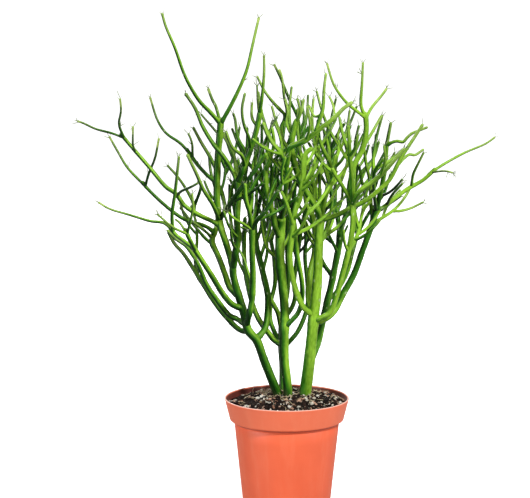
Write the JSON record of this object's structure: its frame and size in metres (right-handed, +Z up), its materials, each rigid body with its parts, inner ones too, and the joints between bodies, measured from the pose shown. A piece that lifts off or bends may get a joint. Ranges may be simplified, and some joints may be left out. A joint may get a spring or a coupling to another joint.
{
  "type": "potted pencil cactus",
  "caption": "Clump of leafless, pencil-thick green euphorbia stems that fork upward from mounded soil in a round tapered nursery pot.",
  "frame": {"origin": "centre of the pot's flat base", "axes": "+Z up along the pot's axis, -Y towards the side that the picture shows, +X to the right there"},
  "size_m": [0.4261, 0.2382, 0.5048],
  "materials": {
    "terracotta_plastic": "satin",
    "potting_soil": "rough",
    "green_stem": "waxy satin"
  },
  "bodies": {
    "root": {"pot": "terracotta_plastic", "soil": "potting_soil", "left_stem": "green_stem", "centre_stem": "green_stem", "centre_back_stem": "green_stem", "right_stem": "green_stem", "right_back_stem": "green_stem"}
  },
  "joints": []
}
